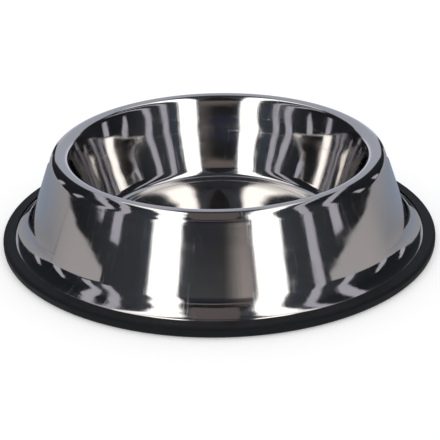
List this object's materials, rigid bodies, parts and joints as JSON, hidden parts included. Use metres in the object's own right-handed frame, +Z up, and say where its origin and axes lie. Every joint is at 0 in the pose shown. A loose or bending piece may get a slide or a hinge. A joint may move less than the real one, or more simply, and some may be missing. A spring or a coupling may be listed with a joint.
{
  "type": "pet bowl",
  "caption": "Round stainless steel pet bowl with a folded rim and a flared skirt, standing in a black non-slip rubber ring.",
  "frame": {"origin": "on the bowl's axis, in the plane that the rubber ring stands on", "axes": "+Z up along the bowl's axis; the bowl is round, so +X and +Y are any two square directions"},
  "size_m": [0.25, 0.25, 0.0533],
  "materials": {
    "steel": "mirror-polished stainless steel",
    "rubber": "matt moulded rubber"
  },
  "bodies": {
    "root": {"bowl_shell": "steel", "non_slip_ring": "rubber"}
  },
  "joints": []
}
